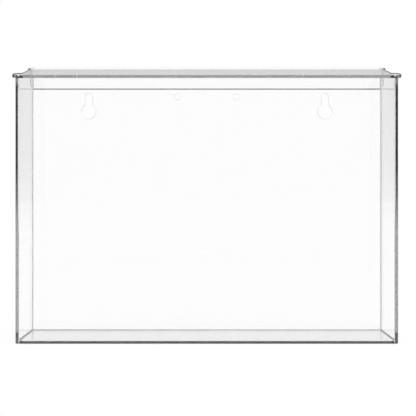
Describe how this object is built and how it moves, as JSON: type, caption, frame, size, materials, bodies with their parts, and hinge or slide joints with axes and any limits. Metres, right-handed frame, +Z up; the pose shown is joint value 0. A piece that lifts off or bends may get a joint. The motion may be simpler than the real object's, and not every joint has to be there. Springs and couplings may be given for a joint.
{
  "type": "clear wall box with lift-off lid",
  "caption": "Shallow clear acrylic box for a wall, glued from flat sheets, with keyholes in its back and a loose sloped lid bent from one sheet that hooks behind the back panel.",
  "frame": {"origin": "on the resting plane under the box, at the middle of the whole outline", "axes": "+X across the width, +Y from the front to the back, towards the wall, +Z up"},
  "size_m": [0.3044, 0.0481, 0.2251],
  "materials": {
    "clear_acrylic": "polished clear sheet",
    "solvent_cement": "clear set cement"
  },
  "bodies": {
    "box": {"front_panel": "clear_acrylic", "back_panel": "clear_acrylic", "left_side_panel": "clear_acrylic", "right_side_panel": "clear_acrylic", "floor_panel": "clear_acrylic", "corner_seams": "solvent_cement", "floor_seams": "solvent_cement"},
    "lid": {"lid": "clear_acrylic"}
  },
  "joints": [
    {"name": "lid_lift", "type": "slide", "parent": "box", "child": "lid", "axis": [0, 0, 1], "range_m": [0, 0.06]}
  ]
}
